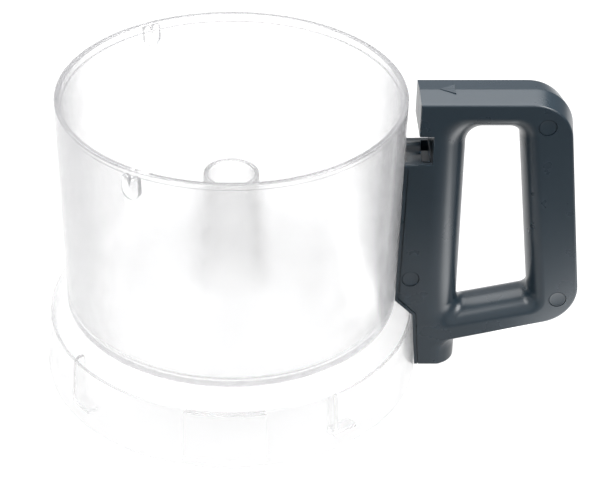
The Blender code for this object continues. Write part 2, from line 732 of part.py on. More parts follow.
def make_plug(place, x, z):
    face = -plug_face()
    mesh = cross_rod_mesh("plug_" + place, PLUG_RADIUS, face, face + PLUG_THICKNESS, x, z, 28)
    plug = add_piece("plug_" + place, mesh, AXIS, SLATE)
    bevel = plug.modifiers.new("edge", "BEVEL")
    bevel.width = PLUG_EDGE
    bevel.segments = 2
    bevel.limit_method = "ANGLE"
    smooth(plug)


# ---------------------------------------------------------------- interlock

def ring(name, outer, inner, low, high, parent, finish, segments=28):
    """A plain ring on the rod's axis, as a turned section."""
    profile = [(outer, high), (outer, low), (inner, low), (inner, high)]
    piece = add_piece(name, turned_mesh(name, profile), parent, finish)
    turn(piece, segments)
    smooth(piece)
    return piece


def slider_plate_top():
    return NOTCH_FLOOR - HANDLE_WALL - GAP


def head_profile():
    """The cam head across the handle: a ramp from the landing up to a round crest."""
    wide = HANDLE_HALF - HANDLE_WALL - 2 * GAP
    low = slider_plate_top() - SLIDER_PLATE
    crest_z = HEAD_CREST - HEAD_CREST_RADIUS
    crest_y = wide - HEAD_CREST_RADIUS - HEAD_CREST_INSET
    profile = [(-wide, low), (wide, low), (wide, crest_z - OVER)]
    profile += arc((crest_y, crest_z), HEAD_CREST_RADIUS, 10, 150, 8)
    profile += [(HEAD_RAMP_FOOT, HEAD_LANDING),
                (-wide + HEAD_CHAMFER, HEAD_LANDING - 0.6 * HEAD_CHAMFER),
                (-wide, HEAD_LANDING - 1.6 * HEAD_CHAMFER)]
    return profile


def make_slider():
    """The cam head in the notch, its plate under the notch floor and the socket for the rod."""
    top = slider_plate_top()
    low = top - SLIDER_BOSS_LENGTH
    near = HEAD_NEAR - ROD_X
    far = HEAD_FAR - ROD_X
    loops = [[(x, y, z) for y, z in head_profile()] for x in (near, far)]
    slider = add_piece("interlock_slider", loft_mesh("interlock_slider", loops), SLIDE, SLATE)
    plate = box_mesh("slider_plate", (near + OVER, -SLIDER_PLATE_HALF, top - SLIDER_PLATE),
                     (OVER, SLIDER_PLATE_HALF, top))
    boss = rod_mesh("slider_boss", SLIDER_BOSS_RADIUS, low, top)
    join(slider, add_cutter("slider_plate", plate, SLIDE), add_cutter("slider_boss", boss, SLIDE))
    socket = rod_mesh("slider_socket", ROD_RADIUS + GAP, low - OVER, low + SOCKET_DEPTH)
    cut(slider, add_cutter("slider_socket", socket, SLIDE),
        add_cutter("slider_pin_hole", pin_hole_mesh("slider_pin_hole"), SLIDE))
    smooth(slider)


def pin_hole_mesh(name):
    return cross_rod_mesh(name, PIN_RADIUS + GAP, -2 * SLIDER_BOSS_RADIUS, 2 * SLIDER_BOSS_RADIUS,
                          0.0, slider_plate_top() - PIN_DROP, 14)


def make_push_rod():
    top = slider_plate_top() - SLIDER_BOSS_LENGTH + SOCKET_DEPTH - GAP
    low = TIP_BOTTOM + TIP_LENGTH + GAP
    rod = add_piece("push_rod", rod_mesh("push_rod", ROD_RADIUS, low, top), SLIDE, STEEL)
    groove_top = CLIP_Z + CLIP_THICKNESS + 2 * GAP
    groove_floor = ROD_RADIUS - GROOVE_DEPTH
    groove = turned_mesh("rod_groove", [(ROD_RADIUS + OVER, groove_top), (ROD_RADIUS + OVER, CLIP_Z),
                                        (groove_floor, CLIP_Z), (groove_floor, groove_top)])
    groove_tool = add_cutter("rod_groove", groove, SLIDE)
    turn(groove_tool, 24)
    cut(rod, add_cutter("rod_pin_hole", pin_hole_mesh("rod_pin_hole"), SLIDE), groove_tool)
    smooth(rod)


def make_cross_pin():
    half = SLIDER_BOSS_RADIUS - GAP
    pin = cross_rod_mesh("cross_pin", PIN_RADIUS, -half, half, 0.0, slider_plate_top() - PIN_DROP,
                         14)
    smooth(add_piece("cross_pin", pin, SLIDE, STEEL))


def make_tip():
    """The rod's end, round and closed on its axis."""
    low = TIP_BOTTOM
    outline = [(TIP_RADIUS, low + TIP_LENGTH), (TIP_RADIUS, low + TIP_ROUND)]
    outline += arc((TIP_RADIUS - TIP_ROUND, low + TIP_ROUND), TIP_ROUND, -15, -90, 4)
    outline += [(0.0, low), (0.0, low + TIP_LENGTH)]
    mesh = bpy.data.meshes.new("plunger_tip")
    mesh.from_pydata([(r, 0.0, z) for r, z in outline],
                     [(i, i + 1) for i in range(len(outline) - 2)]
                     + [(len(outline) - 1, 0)], [])
    tip = add_piece("plunger_tip", mesh, SLIDE, ACETAL)
    turn(tip, 28)
    smooth(tip)


def washer_low():
    return CLIP_Z - WASHER_THICKNESS


def spring_ends():
    seat_top = FOOT_SOLID_TOP + GAP + SEAT_THICKNESS
    return seat_top + GAP + SPRING_WIRE, washer_low() - GAP - SPRING_WIRE


def make_spring():
    low, high = spring_ends()
    count = SPRING_TURNS * SPRING_POINTS
    wire = bpy.data.curves.new("return_spring", "CURVE")
    wire.dimensions = "3D"
    wire.bevel_depth = SPRING_WIRE
    wire.bevel_resolution = 2
    wire.use_fill_caps = True
    path = wire.splines.new("POLY")
    path.points.add(count)
    for i, point in enumerate(path.points):
        angle = math.tau * SPRING_TURNS * i / count
        height = low + (high - low) * i / count
        point.co = (SPRING_RADIUS * math.cos(angle), SPRING_RADIUS * math.sin(angle), height, 1)
    spring = bpy.data.objects.new("return_spring", wire)
    spring.parent = SLIDE
    wire.materials.append(STEEL)
    PARTS.objects.link(spring)


def make_clip():
    """An open retaining ring in the rod's groove, above the washer that the spring lifts."""
    clip = ring("retaining_clip", CLIP_RADIUS, ROD_RADIUS - GROOVE_DEPTH + GAP, CLIP_Z + GAP,
                CLIP_Z + GAP + CLIP_THICKNESS, SLIDE, STEEL)
    mouth = box_mesh("clip_mouth", (-CLIP_MOUTH / 2, 0.0, CLIP_Z - OVER),
                     (CLIP_MOUTH / 2, 2 * CLIP_RADIUS, CLIP_Z + CLIP_THICKNESS + OVER))
    cut(clip, add_cutter("clip_mouth", mouth, SLIDE))


def make_guide_bush():
    """The upper bush: a neck between two flanges, held by the plates of both shells."""
    low = GUIDE_Z - GAP - GUIDE_FLANGE_THICKNESS
    top = GUIDE_Z + GUIDE_THICKNESS + GAP + GUIDE_FLANGE_THICKNESS
    bore = ROD_RADIUS + GAP
    profile = [(GUIDE_FLANGE, top), (GUIDE_FLANGE, top - GUIDE_FLANGE_THICKNESS),
               (GUIDE_NECK, top - GUIDE_FLANGE_THICKNESS),
               (GUIDE_NECK, low + GUIDE_FLANGE_THICKNESS),
               (GUIDE_FLANGE, low + GUIDE_FLANGE_THICKNESS),
               (GUIDE_FLANGE, low), (bore, low), (bore, top)]
    bush = add_piece("upper_guide_bush", turned_mesh("upper_guide_bush", profile), SLIDE, ACETAL)
    turn(bush, 24)
    smooth(bush)


def make_interlock():
    make_slider()
    make_push_rod()
    make_cross_pin()
    make_tip()
    make_clip()
    make_guide_bush()
    make_spring()
    bore = ROD_RADIUS + GAP
    ring("spring_washer", WASHER_RADIUS, bore, washer_low(), CLIP_Z, SLIDE, STEEL)
    ring("spring_seat", SEAT_RADIUS, bore + GAP, FOOT_SOLID_TOP + GAP,
         FOOT_SOLID_TOP + GAP + SEAT_THICKNESS, SLIDE, STEEL)
    bush_top = BUSH_LEDGE + GAP + BUSH_LENGTH
    ring("foot_guide_bush", BUSH_RADIUS, bore, BUSH_LEDGE + GAP, bush_top, SLIDE, ACETAL)
    ring("foot_seal", BUSH_RADIUS, bore, bush_top + GAP, bush_top + GAP + SEAL_LENGTH, SLIDE,
         RUBBER)


# ---------------------------------------------------------------- assembly

clear_scene()
PARTS = collection("food_processor_bowl")
TOOLS = collection("cutters")

CLEAR = material("clear_copolyester", (0.86, 0.87, 0.91), 0.05, transmission=1.0)
SLATE = material("slate_plastic", (0.032, 0.045, 0.060), 0.38)
ACETAL = material("white_acetal", (0.75, 0.75, 0.73), 0.35)
STEEL = material("stainless_steel", (0.62, 0.62, 0.63), 0.25, metallic=1.0)
RUBBER = material("black_silicone", (0.02, 0.02, 0.022), 0.7)

reach = max(x for x, _ in rounded_loop(handle_corners(0.0)))
AXIS = empty("bowl_axis", -(reach - SKIRT_RADIUS) / 2)
SLIDE = empty("interlock_axis", ROD_X, AXIS)

make_bowl()
make_front_shell()
make_rear_shell()
for place_name, place_x, place_z in SCREW_PLACES:
    make_screw(place_name, place_x, place_z)
    make_plug(place_name, place_x, place_z)
make_interlock()
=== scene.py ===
"""Looks of the food processor work bowl: clear bowl, slate handle and the lid interlock.

Everything is laid out around the bowl's own axis, with the rest face of the skirt at z = 0 and
the handle along +X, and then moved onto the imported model.
"""
import math

import bmesh
import bpy
from mathutils import Matrix, Vector


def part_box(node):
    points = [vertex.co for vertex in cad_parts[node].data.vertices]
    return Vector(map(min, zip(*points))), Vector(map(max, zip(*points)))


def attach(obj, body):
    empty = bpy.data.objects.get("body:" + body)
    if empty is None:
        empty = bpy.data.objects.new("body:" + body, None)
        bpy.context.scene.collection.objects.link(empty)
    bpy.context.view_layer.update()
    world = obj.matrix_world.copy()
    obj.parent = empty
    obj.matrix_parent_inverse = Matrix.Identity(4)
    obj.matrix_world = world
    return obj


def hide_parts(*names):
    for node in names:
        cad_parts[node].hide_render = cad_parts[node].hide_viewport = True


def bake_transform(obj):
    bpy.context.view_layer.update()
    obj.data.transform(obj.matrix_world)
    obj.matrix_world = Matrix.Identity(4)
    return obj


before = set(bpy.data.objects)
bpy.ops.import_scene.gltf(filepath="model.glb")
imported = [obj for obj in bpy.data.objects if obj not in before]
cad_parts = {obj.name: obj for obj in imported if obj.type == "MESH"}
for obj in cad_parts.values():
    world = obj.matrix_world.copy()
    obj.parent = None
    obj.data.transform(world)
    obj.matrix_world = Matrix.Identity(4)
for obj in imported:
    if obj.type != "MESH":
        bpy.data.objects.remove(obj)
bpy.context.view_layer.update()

MM = 0.001
FIXED = "bowl_and_handle"
SLIDING = "interlock"

# Bowl, radii at the outer faces
BOWL_HEIGHT = 150.5 * MM
RIM_RADIUS = 82.5 * MM
WALL_FOOT_RADIUS = RIM_RADIUS - 1.5 * MM
RIM_WALL = 2.9 * MM
RIM_ROUND = 0.8 * MM
BOWL_WALL = 2.8 * MM
SEAT_DEPTH = 4.0 * MM
SEAT_STEP = 0.7 * MM
FLOOR_HEIGHT = 40.3 * MM
FLOOR_THICKNESS = 2.7 * MM
FLOOR_FILLET = 5.0 * MM
TUBE_TOP = BOWL_HEIGHT - 43.9 * MM
TUBE_TOP_RADIUS = 13.3 * MM
TUBE_FOOT_RADIUS = 17.6 * MM
TUBE_WALL = 2.3 * MM
SHOULDER_DROP = 8.8 * MM
SKIRT_TOP_RADIUS = WALL_FOOT_RADIUS + 9.0 * MM
SKIRT_RADIUS = SKIRT_TOP_RADIUS + 2.5 * MM
SKIRT_WALL = 2.4 * MM
BOWL_STEPS = 256

CATCH_AZIMUTHS = (119.0, -121.5)
CATCH_WIDTH = 9.2 * MM
CATCH_HEIGHT = 11.7 * MM
CATCH_TOP_DROP = 1.9 * MM
CATCH_PROUD = 2.4 * MM
CATCH_SLOT = 1.9 * MM

BAYONET_AZIMUTHS = (-57.4, 32.6, 122.6, -147.4)
BAYONET_RIB = 2.0 * MM
BAYONET_REACH = 4.2 * MM
BAYONET_LEDGE_ANGLE = 8.2
BAYONET_LEDGE_Z = 7.0 * MM
BAYONET_LEDGE = 2.0 * MM
PAD_AZIMUTHS = (-92.0, 88.0, 178.0)
PAD_ANGLE = 25.0
PAD_THICKNESS = 1.4 * MM
PAD_BOTTOM = 3.0 * MM

# Handle outline in the X-Z plane, at its flat side faces
HANDLE_HALF = 12.7 * MM
HANDLE_CROWN = 1.7 * MM
HANDLE_WALL = 2.4 * MM
HANDLE_TOP = BOWL_HEIGHT - 0.4 * MM
ARM_END = RIM_RADIUS + 5.0 * MM
ARM_END_ROUND = 1.5 * MM
NOTCH_ROOF = HANDLE_TOP - 16.7 * MM
NOTCH_FLOOR = NOTCH_ROOF - 15.1 * MM
NOTCH_DEPTH_X = ARM_END + 6.8 * MM
GROOVE_TOP = NOTCH_FLOOR - 3.0 * MM
GRIP_TOP_X = RIM_RADIUS + 74.4 * MM
GRIP_LEAN = 0.122
UNDERSIDE_X = RIM_RADIUS + 31.4 * MM
UNDERSIDE_Z = 17.4 * MM
UNDERSIDE_RISE = 0.2386
TOP_CORNER = 20.0 * MM
BOTTOM_CORNER = 19.5 * MM
FOOT_BOTTOM = 1.0 * MM
FOOT_X = SKIRT_RADIUS + 7.1 * MM
FOOT_FILLET = 9.0 * MM
FOOT_SOLID_TOP = 22.0 * MM
INWARD_X = 60 * MM                 # where cuts towards the bowl start, inside its wall
COLUMN_END_X = 114 * MM            # where cuts in the column and the foot end
EDGE_ROUND = 0.9 * MM
SEAM_HALF = 0.03 * MM
SEAM_ROUND = 0.25 * MM
GROOVE_INSET = 1.5 * MM            # from the handle's edge along the bowl
GROOVE_WIDTH = 0.5 * MM
GROOVE_DEPTH = 1.2 * MM

HOLE_TOP = HANDLE_TOP - 15.0 * MM
HOLE_LEFT_TOP = RIM_RADIUS + 27.9 * MM
HOLE_LEFT_BOTTOM = RIM_RADIUS + 29.3 * MM
HOLE_RIGHT_TOP = RIM_RADIUS + 52.5 * MM
HOLE_BOTTOM = 32.6 * MM
HOLE_BOTTOM_RISE = 0.223
HOLE_ROUND_LEFT = 16.5 * MM
HOLE_ROUND_RIGHT = 8.0 * MM
HOLE_ROUND_TOP = 8.5 * MM
HOLE_ROUND_BOTTOM = 9.0 * MM
HOLE_CORNERS = (4.5 * MM, 4.5 * MM, 7.0 * MM, 9.5 * MM)
HOLE_CORNER_GROWTH = 4.0 * MM

# Interlock and what it needs in the handle and on the bowl
GAP = 0.3 * MM
TRAVEL = 7.0 * MM
ROD_X = FOOT_X + 1.6 * MM
TIP_RADIUS = 3.7 * MM
BUSH_LEDGE = 9.0 * MM
BUSH_RADIUS = 5.5 * MM
HEAD_NEAR = RIM_RADIUS + 0.4 * MM
HEAD_FAR = HEAD_NEAR + 7.1 * MM
HEAD_LANDING = NOTCH_FLOOR - 1.1 * MM
HEAD_CREST = NOTCH_FLOOR + 3.2 * MM
HEAD_CREST_RADIUS = 3.4 * MM
HEAD_CREST_INSET = 0.8 * MM
SLIDER_PLATE = 5.2 * MM
SLIDER_PLATE_HALF = 5.0 * MM
SLIDER_BOSS_RADIUS = 5.0 * MM
SLIDER_BOSS_LENGTH = 15.0 * MM
SOCKET_DEPTH = 10.0 * MM
SOCKET_RADIUS = 2.8 * MM
PIN_HOLE_RADIUS = 1.3 * MM
PIN_DROP = 10.0 * MM
TROUGH_X = NOTCH_DEPTH_X - GAP
GUIDE_Z = NOTCH_FLOOR - TRAVEL - 27.3 * MM
GUIDE_THICKNESS = 3.0 * MM
GUIDE_NECK = 3.6 * MM
WEB_HALF = 1.6 * MM
WEB_BOTTOM = 44.0 * MM
WEB_TOP = NOTCH_FLOOR - TRAVEL - 15.3 * MM
WEB_REACH = WALL_FOOT_RADIUS + 11.0 * MM
PEG_X = RIM_RADIUS + 5.5 * MM
PEG_Z = WEB_TOP - 10.0 * MM
PEG_RADIUS = 2.0 * MM

SCREW_PLACES = (
    ("upper_grip", RIM_RADIUS + 64.2 * MM, HANDLE_TOP - 11.7 * MM),
    ("lower_grip", RIM_RADIUS + 77.7 * MM, 41.0 * MM),
    ("column", RIM_RADIUS + 4.9 * MM, 53.2 * MM),
)
SCREW_SHANK = 1.5 * MM
SCREW_HEAD = 2.9 * MM
SCREW_HEAD_HEIGHT = 2.0 * MM
SCREW_LENGTH = 15.0 * MM
PLUG_RADIUS = 4.2 * MM
PLUG_THICKNESS = 1.8 * MM
PLUG_SINK = 0.3 * MM
PLUG_SEAT_GAP = 0.12 * MM          # what shows round a plug, narrower than the working gap
BOSS_RADIUS = 4.6 * MM

ARROW_TIP_X = 97.0 * MM
ARROW_TAIL_X = 104.2 * MM
ARROW_NOTCH = 0.4 * MM
ARROW_HALF = 3.8 * MM
ARROW_PROUD = 0.25 * MM
ARROW_TILT = 0.08

AXIS_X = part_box("bowl")[0].x + SKIRT_RADIUS

# Clear plastic, and the studio: the table's glow with its painted light and painted shade, the
# lights' radiance and the camera
CLEAR_IOR = 1.54
CLEAR_TINT = (0.65, 0.64, 0.69, 1.0)
CLEAR_DENSITY = 3.5

TABLE_HALF = 6.0
TABLE_GLOW = 0.93                  # even glow beside the object
TABLE_PAINTED_GLOW_FRONT = 0.02            # painted shade: the glow towards the camera, nearly none
TABLE_PAINTED_GLOW_BEHIND = 1.12           # painted light under and behind the object, washing out its shadow, as a share of that beside it
# A painted strip of light on the table to the right of the handle, seen in reflection on the handle
PAINTED_STRIP_ACROSS = (0.643, 0.766, 0.0)
PAINTED_STRIP_GLOW = 4.0

SKY_BRIGHT_SIDE = (-1.0, -0.4, 0.2)
SKY_LEVELS = (0.3, 1.05)
HANDLE_MIDDLE = (0.1, 0.0, 0.05)
SOFTBOXES = (
    ("softbox_top", (0.0, 0.45, 1.15), (0.0, 0.1, 0.0), (1.5, 1.1), 3.4),
    ("softbox_left", (-0.6, -0.45, 1.2), HANDLE_MIDDLE, (0.8, 0.6), 8.0),
    ("softbox_right", (0.9, -0.4, 1.2), HANDLE_MIDDLE, (0.85, 0.85), 12.0),
)

CAMERA_LENS = 114.0
CAMERA_SENSOR = 36.0
CAMERA_SHIFT = 0.1145
CAMERA_PLACE = (AXIS_X, -0.7738, 0.5822)
CAMERA_DOWN = 33.62                # degrees below the horizon

# ---------------------------------------------------------------- mesh helpers


def mesh_from(name, form):
    bmesh.ops.recalc_face_normals(form, faces=form.faces)
    mesh = bpy.data.meshes.new(name)
    form.to_mesh(mesh)
    form.free()
    return mesh


def box_mesh(name, low, high):
    form = bmesh.new()
    bmesh.ops.create_cube(form, size=1.0)
    size = [h - l for l, h in zip(low, high)]
    middle = [(h + l) / 2 for l, h in zip(low, high)]
    bmesh.ops.scale(form, vec=size, verts=form.verts)
    bmesh.ops.translate(form, vec=middle, verts=form.verts)
    return mesh_from(name, form)


def rod_mesh(name, radius, low, high, x=0.0, segments=48):
    form = bmesh.new()
    bmesh.ops.create_cone(form, cap_ends=True, segments=segments, radius1=radius,
                          radius2=radius, depth=high - low)
    bmesh.ops.translate(form, vec=(x, 0.0, (low + high) / 2), verts=form.verts)
    return mesh_from(name, form)


def cross_rod_mesh(name, radius, low, high, x, z, segments=48):
    """A round bar along Y from low to high."""
    form = bmesh.new()
    bmesh.ops.create_cone(form, cap_ends=True, segments=segments, radius1=radius,
                          radius2=radius, depth=high - low)
    bmesh.ops.rotate(form, cent=(0, 0, 0), matrix=Matrix.Rotation(math.radians(90), 3, "X"),
                     verts=form.verts)
    bmesh.ops.translate(form, vec=(x, (low + high) / 2, z), verts=form.verts)
    return mesh_from(name, form)


def turned_mesh(name, profile, steps, axis="Z"):
    """A solid turned from a closed outline of (radius, height) points."""
    form = bmesh.new()
    rings = []
    for i in range(steps):
        angle = math.tau * i / steps
        c, s = math.cos(angle), math.sin(angle)
        rings.append([form.verts.new((r * c, r * s, z)) for r, z in profile])
    count = len(profile)
    for i in range(steps):
        here, there = rings[i], rings[(i + 1) % steps]
        for k in range(count):
            j = (k + 1) % count
            form.faces.new((here[k], here[j], there[j], there[k]))
    bmesh.ops.remove_doubles(form, verts=form.verts, dist=1e-7)
    if axis == "Y":
        bmesh.ops.rotate(form, cent=(0, 0, 0), verts=form.verts,
                         matrix=Matrix.Rotation(math.radians(90), 3, "X"))
    return mesh_from(name, form)


def loft_mesh(name, loops):
    """A closed solid through loops that have the same number of points."""
    form = bmesh.new()
    rings = [[form.verts.new(point) for point in loop] for loop in loops]
    count = len(rings[0])
    for first, second in zip(rings, rings[1:]):
        for i in range(count):
            j = (i + 1) % count
            form.faces.new((first[i], first[j], second[j], second[i]))
    form.faces.new(rings[0])
    form.faces.new(rings[-1])
    return mesh_from(name, form)


def wedge_mesh(name, azimuth, sweep, low, high, steps):
    """A block bent round the bowl's axis; low and high give inner radius, outer radius, height."""
    loops = []
    for i in range(steps + 1):
        angle = math.radians(azimuth + sweep * i / steps)
        c, s = math.cos(angle), math.sin(angle)
        corners = ((low[0], low[2]), (low[1], low[2]), (high[1], high[2]), (high[0], high[2]))
        loops.append([(r * c, r * s, z) for r, z in corners])
    return loft_mesh(name, loops)


def arc(centre, radius, start, end, steps):
    angles = [start + (end - start) * i / steps for i in range(steps + 1)]
    return [(centre[0] + radius * math.cos(math.radians(a)),
             centre[1] + radius * math.sin(math.radians(a))) for a in angles]


def rounded_loop(corners, inset=0.0, segments=8):
    """Outline through corners (x, z, radius), anticlockwise, moved inwards by inset."""
    count = len(corners)
    points = [Vector(corner[:2]) for corner in corners]
    moved = []
    for i, point in enumerate(points):
        before = (point - points[i - 1]).normalized()
        after = (points[(i + 1) % count] - point).normalized()
        middle = Vector((-before.y, before.x)) + Vector((-after.y, after.x))
        moved.append(point + middle * (2.0 * inset / middle.length_squared))
    loop = []
    for i, point in enumerate(moved):
        radius = corners[i][2]
        if radius <= 0.0:
            loop.append(tuple(point))
            continue
        before = (point - moved[i - 1]).normalized()
        after = (moved[(i + 1) % count] - point).normalized()
        sign = 1.0 if before.cross(after) > 0 else -1.0
        radius = max(radius - sign * inset, 0.02 * MM)
        bend = before.angle(after)
        start = point - before * (radius * math.tan(bend / 2))
        centre = start + Vector((-before.y, before.x)) * (radius * sign)
        spoke = start - centre
        for k in range(segments + 1):
            angle = sign * bend * k / segments
            turned = Vector((spoke.x * math.cos(angle) - spoke.y * math.sin(angle),
                             spoke.x * math.sin(angle) + spoke.y * math.cos(angle)))
            loop.append(tuple(centre + turned))
    return loop


def at_plane(loop, y):
    return [(x, y, z) for x, z in loop]


def scratch_object(mesh):
    made = bpy.data.objects.new(mesh.name, mesh)
    bpy.context.scene.collection.objects.link(made)
    return made


def carve(mesh, steps):
    """The mesh after its boolean steps, each an operation and the mesh of its tool."""
    piece = scratch_object(mesh)
    tools = []
    for operation, tool_mesh in steps:
        tool = scratch_object(tool_mesh)
        tools.append(tool)
        step = piece.modifiers.new(operation, "BOOLEAN")
        step.operation = operation
        step.solver = "EXACT"
        step.object = tool
    graph = bpy.context.evaluated_depsgraph_get()
    result = bpy.data.meshes.new_from_object(piece.evaluated_get(graph))
    for used in tools + [piece]:
        bpy.data.objects.remove(used, do_unlink=True)
    result.name = mesh.name
    return result


def add_piece(name, mesh, finish, body=FIXED, degrees=32.0):
    """A piece of the looks, moved from the bowl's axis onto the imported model."""
    mesh.transform(Matrix.Translation((AXIS_X, 0.0, 0.0)))
    mesh.materials.clear()
    mesh.materials.append(finish)
    mesh.shade_smooth()
    mesh.set_sharp_from_angle(angle=math.radians(degrees))
    piece = bpy.data.objects.new(name, mesh)
    bpy.context.scene.collection.objects.link(piece)
    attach(piece, body)
    return piece


def weigh_normals(piece):
    step = piece.modifiers.new("normals", "WEIGHTED_NORMAL")
    step.keep_sharp = True
    step.weight = 80


# ---------------------------------------------------------------- materials


def new_material(name):
    made = bpy.data.materials.new(name)
    made.use_nodes = True
    return made, made.node_tree, made.node_tree.nodes["Principled BSDF"]


def add_noise(tree, scale, detail=4.0, stretch=(1.0, 1.0, 1.0)):
    where = tree.nodes.new("ShaderNodeTexCoord")
    mapping = tree.nodes.new("ShaderNodeMapping")
    mapping.inputs["Scale"].default_value = stretch
    noise = tree.nodes.new("ShaderNodeTexNoise")
    noise.inputs["Scale"].default_value = scale
    noise.inputs["Detail"].default_value = detail
    tree.links.new(where.outputs["Object"], mapping.inputs["Vector"])
    tree.links.new(mapping.outputs["Vector"], noise.inputs["Vector"])
    return noise


def add_bump(tree, shader, height, strength, distance):
    bump = tree.nodes.new("ShaderNodeBump")
    bump.inputs["Strength"].default_value = strength
    bump.inputs["Distance"].default_value = distance
    tree.links.new(height, bump.inputs["Height"])
    tree.links.new(bump.outputs["Normal"], shader.inputs["Normal"])


def vary(tree, noise, socket, low, high):
    """Drive a number of the shader between low and high by a noise."""
    spread = tree.nodes.new("ShaderNodeMapRange")
    spread.inputs["From Min"].default_value = 0.3
    spread.inputs["From Max"].default_value = 0.7
    spread.inputs["To Min"].default_value = low
    spread.inputs["To Max"].default_value = high
    tree.links.new(noise.outputs["Fac"], spread.inputs["Value"])
    tree.links.new(spread.outputs["Result"], socket)


def vary_colour(tree, noise, shader, first, second):
    ramp = tree.nodes.new("ShaderNodeValToRGB")
    ramp.color_ramp.elements[0].position = 0.35
    ramp.color_ramp.elements[0].color = (*first, 1.0)
    ramp.color_ramp.elements[1].position = 0.65
    ramp.color_ramp.elements[1].color = (*second, 1.0)
    tree.links.new(noise.outputs["Fac"], ramp.inputs["Fac"])
    tree.links.new(ramp.outputs["Color"], shader.inputs["Base Color"])


def clear_plastic():
    """Clear copolyester with a faint lavender body tint and a barely wavy moulded surface."""
    made, tree, shader = new_material("clear_copolyester")
    shader.inputs["Base Color"].default_value = (1.0, 1.0, 1.0, 1.0)
    shader.inputs["Transmission Weight"].default_value = 1.0
    shader.inputs["IOR"].default_value = CLEAR_IOR
    vary(tree, add_noise(tree, 90.0, 3.0), shader.inputs["Roughness"], 0.18, 0.25)
    add_bump(tree, shader, add_noise(tree, 22.0, 1.0).outputs["Fac"], 0.05, 0.0004)
    body = tree.nodes.new("ShaderNodeVolumeAbsorption")
    body.inputs["Color"].default_value = CLEAR_TINT
    body.inputs["Density"].default_value = CLEAR_DENSITY
    output = tree.nodes["Material Output"]
    tree.links.new(body.outputs["Volume"], output.inputs["Volume"])
    return made


def slate_plastic():
    """Dark slate polypropylene with a fine spark-eroded grain."""
    made, tree, shader = new_material("slate_plastic")
    tone = add_noise(tree, 35.0, 3.0)
    vary_colour(tree, tone, shader, (0.0115, 0.0202, 0.0280), (0.0125, 0.0212, 0.0295))
    shader.inputs["Specular IOR Level"].default_value = 0.45
    vary(tree, add_noise(tree, 60.0, 4.0), shader.inputs["Roughness"], 0.27, 0.29)
    grain = add_noise(tree, 1500.0, 3.0)
    add_bump(tree, shader, grain.outputs["Fac"], 0.08, 0.00008)
    return made


def moulded(name, first, second, roughness, specular=0.5, grain=900.0):
    made, tree, shader = new_material(name)
    vary_colour(tree, add_noise(tree, 60.0, 3.0), shader, first, second)
    shader.inputs["Specular IOR Level"].default_value = specular
    vary(tree, add_noise(tree, 120.0, 4.0), shader.inputs["Roughness"], roughness * 0.9,
         roughness * 1.15)
    add_bump(tree, shader, add_noise(tree, grain, 3.0).outputs["Fac"], 0.1, 0.0001)
    return made


def stainless_steel():
    """Drawn stainless steel with fine lines along its length."""
    made, tree, shader = new_material("stainless_steel")
    lines = add_noise(tree, 900.0, 5.0, (1.0, 1.0, 0.03))
    vary_colour(tree, lines, shader, (0.52, 0.52, 0.53), (0.66, 0.66, 0.67))
    shader.inputs["Metallic"].default_value = 1.0
    vary(tree, lines, shader.inputs["Roughness"], 0.18, 0.34)
    add_bump(tree, shader, lines.outputs["Fac"], 0.15, 0.00005)
    return made


CLEAR = clear_plastic()
SLATE = slate_plastic()
WHITE = moulded("white_acetal", (0.72, 0.72, 0.70), (0.78, 0.78, 0.76), 0.35)
STEEL = stainless_steel()
RUBBER = moulded("silicone", (0.018, 0.018, 0.020), (0.026, 0.026, 0.028), 0.65, 0.35, 500.0)


# ---------------------------------------------------------------- bowl


def wall_radius(z):
    share = (z - FLOOR_HEIGHT) / (BOWL_HEIGHT - FLOOR_HEIGHT)
    return WALL_FOOT_RADIUS + (RIM_RADIUS - WALL_FOOT_RADIUS) * share


def skirt_inner_radius(z):
    share = z / (FLOOR_HEIGHT - SHOULDER_DROP)
    return SKIRT_RADIUS + (SKIRT_TOP_RADIUS - SKIRT_RADIUS) * share - SKIRT_WALL


def bowl_profile():
    under = FLOOR_HEIGHT - FLOOR_THICKNESS
    shoulder = FLOOR_HEIGHT - SHOULDER_DROP
    seat_z = BOWL_HEIGHT - SEAT_DEPTH
    inner_rim = RIM_RADIUS - RIM_WALL
    corners = [
        (RIM_RADIUS, BOWL_HEIGHT, RIM_ROUND),
        (WALL_FOOT_RADIUS, FLOOR_HEIGHT, 0.6 * MM),
        (SKIRT_TOP_RADIUS, shoulder, 1.2 * MM),
        (SKIRT_RADIUS, 0.0, 0.4 * MM),
        (SKIRT_RADIUS - SKIRT_WALL, 0.0, 0.4 * MM),
        (skirt_inner_radius(shoulder), shoulder - 0.4 * SKIRT_WALL, 0.6 * MM),
        (WALL_FOOT_RADIUS - 0.6 * SKIRT_WALL, under, 1.0 * MM),
        (TUBE_FOOT_RADIUS - TUBE_WALL, under, 1.0 * MM),
        (TUBE_TOP_RADIUS - TUBE_WALL, TUBE_TOP, 0.7 * MM),
        (TUBE_TOP_RADIUS, TUBE_TOP, 0.7 * MM),
        (TUBE_FOOT_RADIUS, FLOOR_HEIGHT, 2.0 * MM),
        (WALL_FOOT_RADIUS - BOWL_WALL, FLOOR_HEIGHT, FLOOR_FILLET),
        (inner_rim - SEAT_STEP, seat_z, 0.15 * MM),
        (inner_rim, seat_z + 0.3 * SEAT_STEP, 0.15 * MM),
        (inner_rim, BOWL_HEIGHT, RIM_ROUND),
    ]
    return rounded_loop(corners, 0.0, 6)


def catch_outline(inset):
    """Round below, two lobes above with a narrow slot between them."""
    half = CATCH_WIDTH / 2
    top = BOWL_HEIGHT - CATCH_TOP_DROP
    low = top - CATCH_HEIGHT + half
    lobe = (half - CATCH_SLOT / 4) / 2
    middle = half - lobe
    outline = arc((0.0, low), half - inset, 180, 360, 20)
    outline += arc((middle, top - lobe), lobe - inset, 0, 150, 10)
    outline.append((0.0, top - 2.2 * lobe - inset))
    outline += arc((-middle, top - lobe), lobe - inset, 30, 180, 10)
    return outline


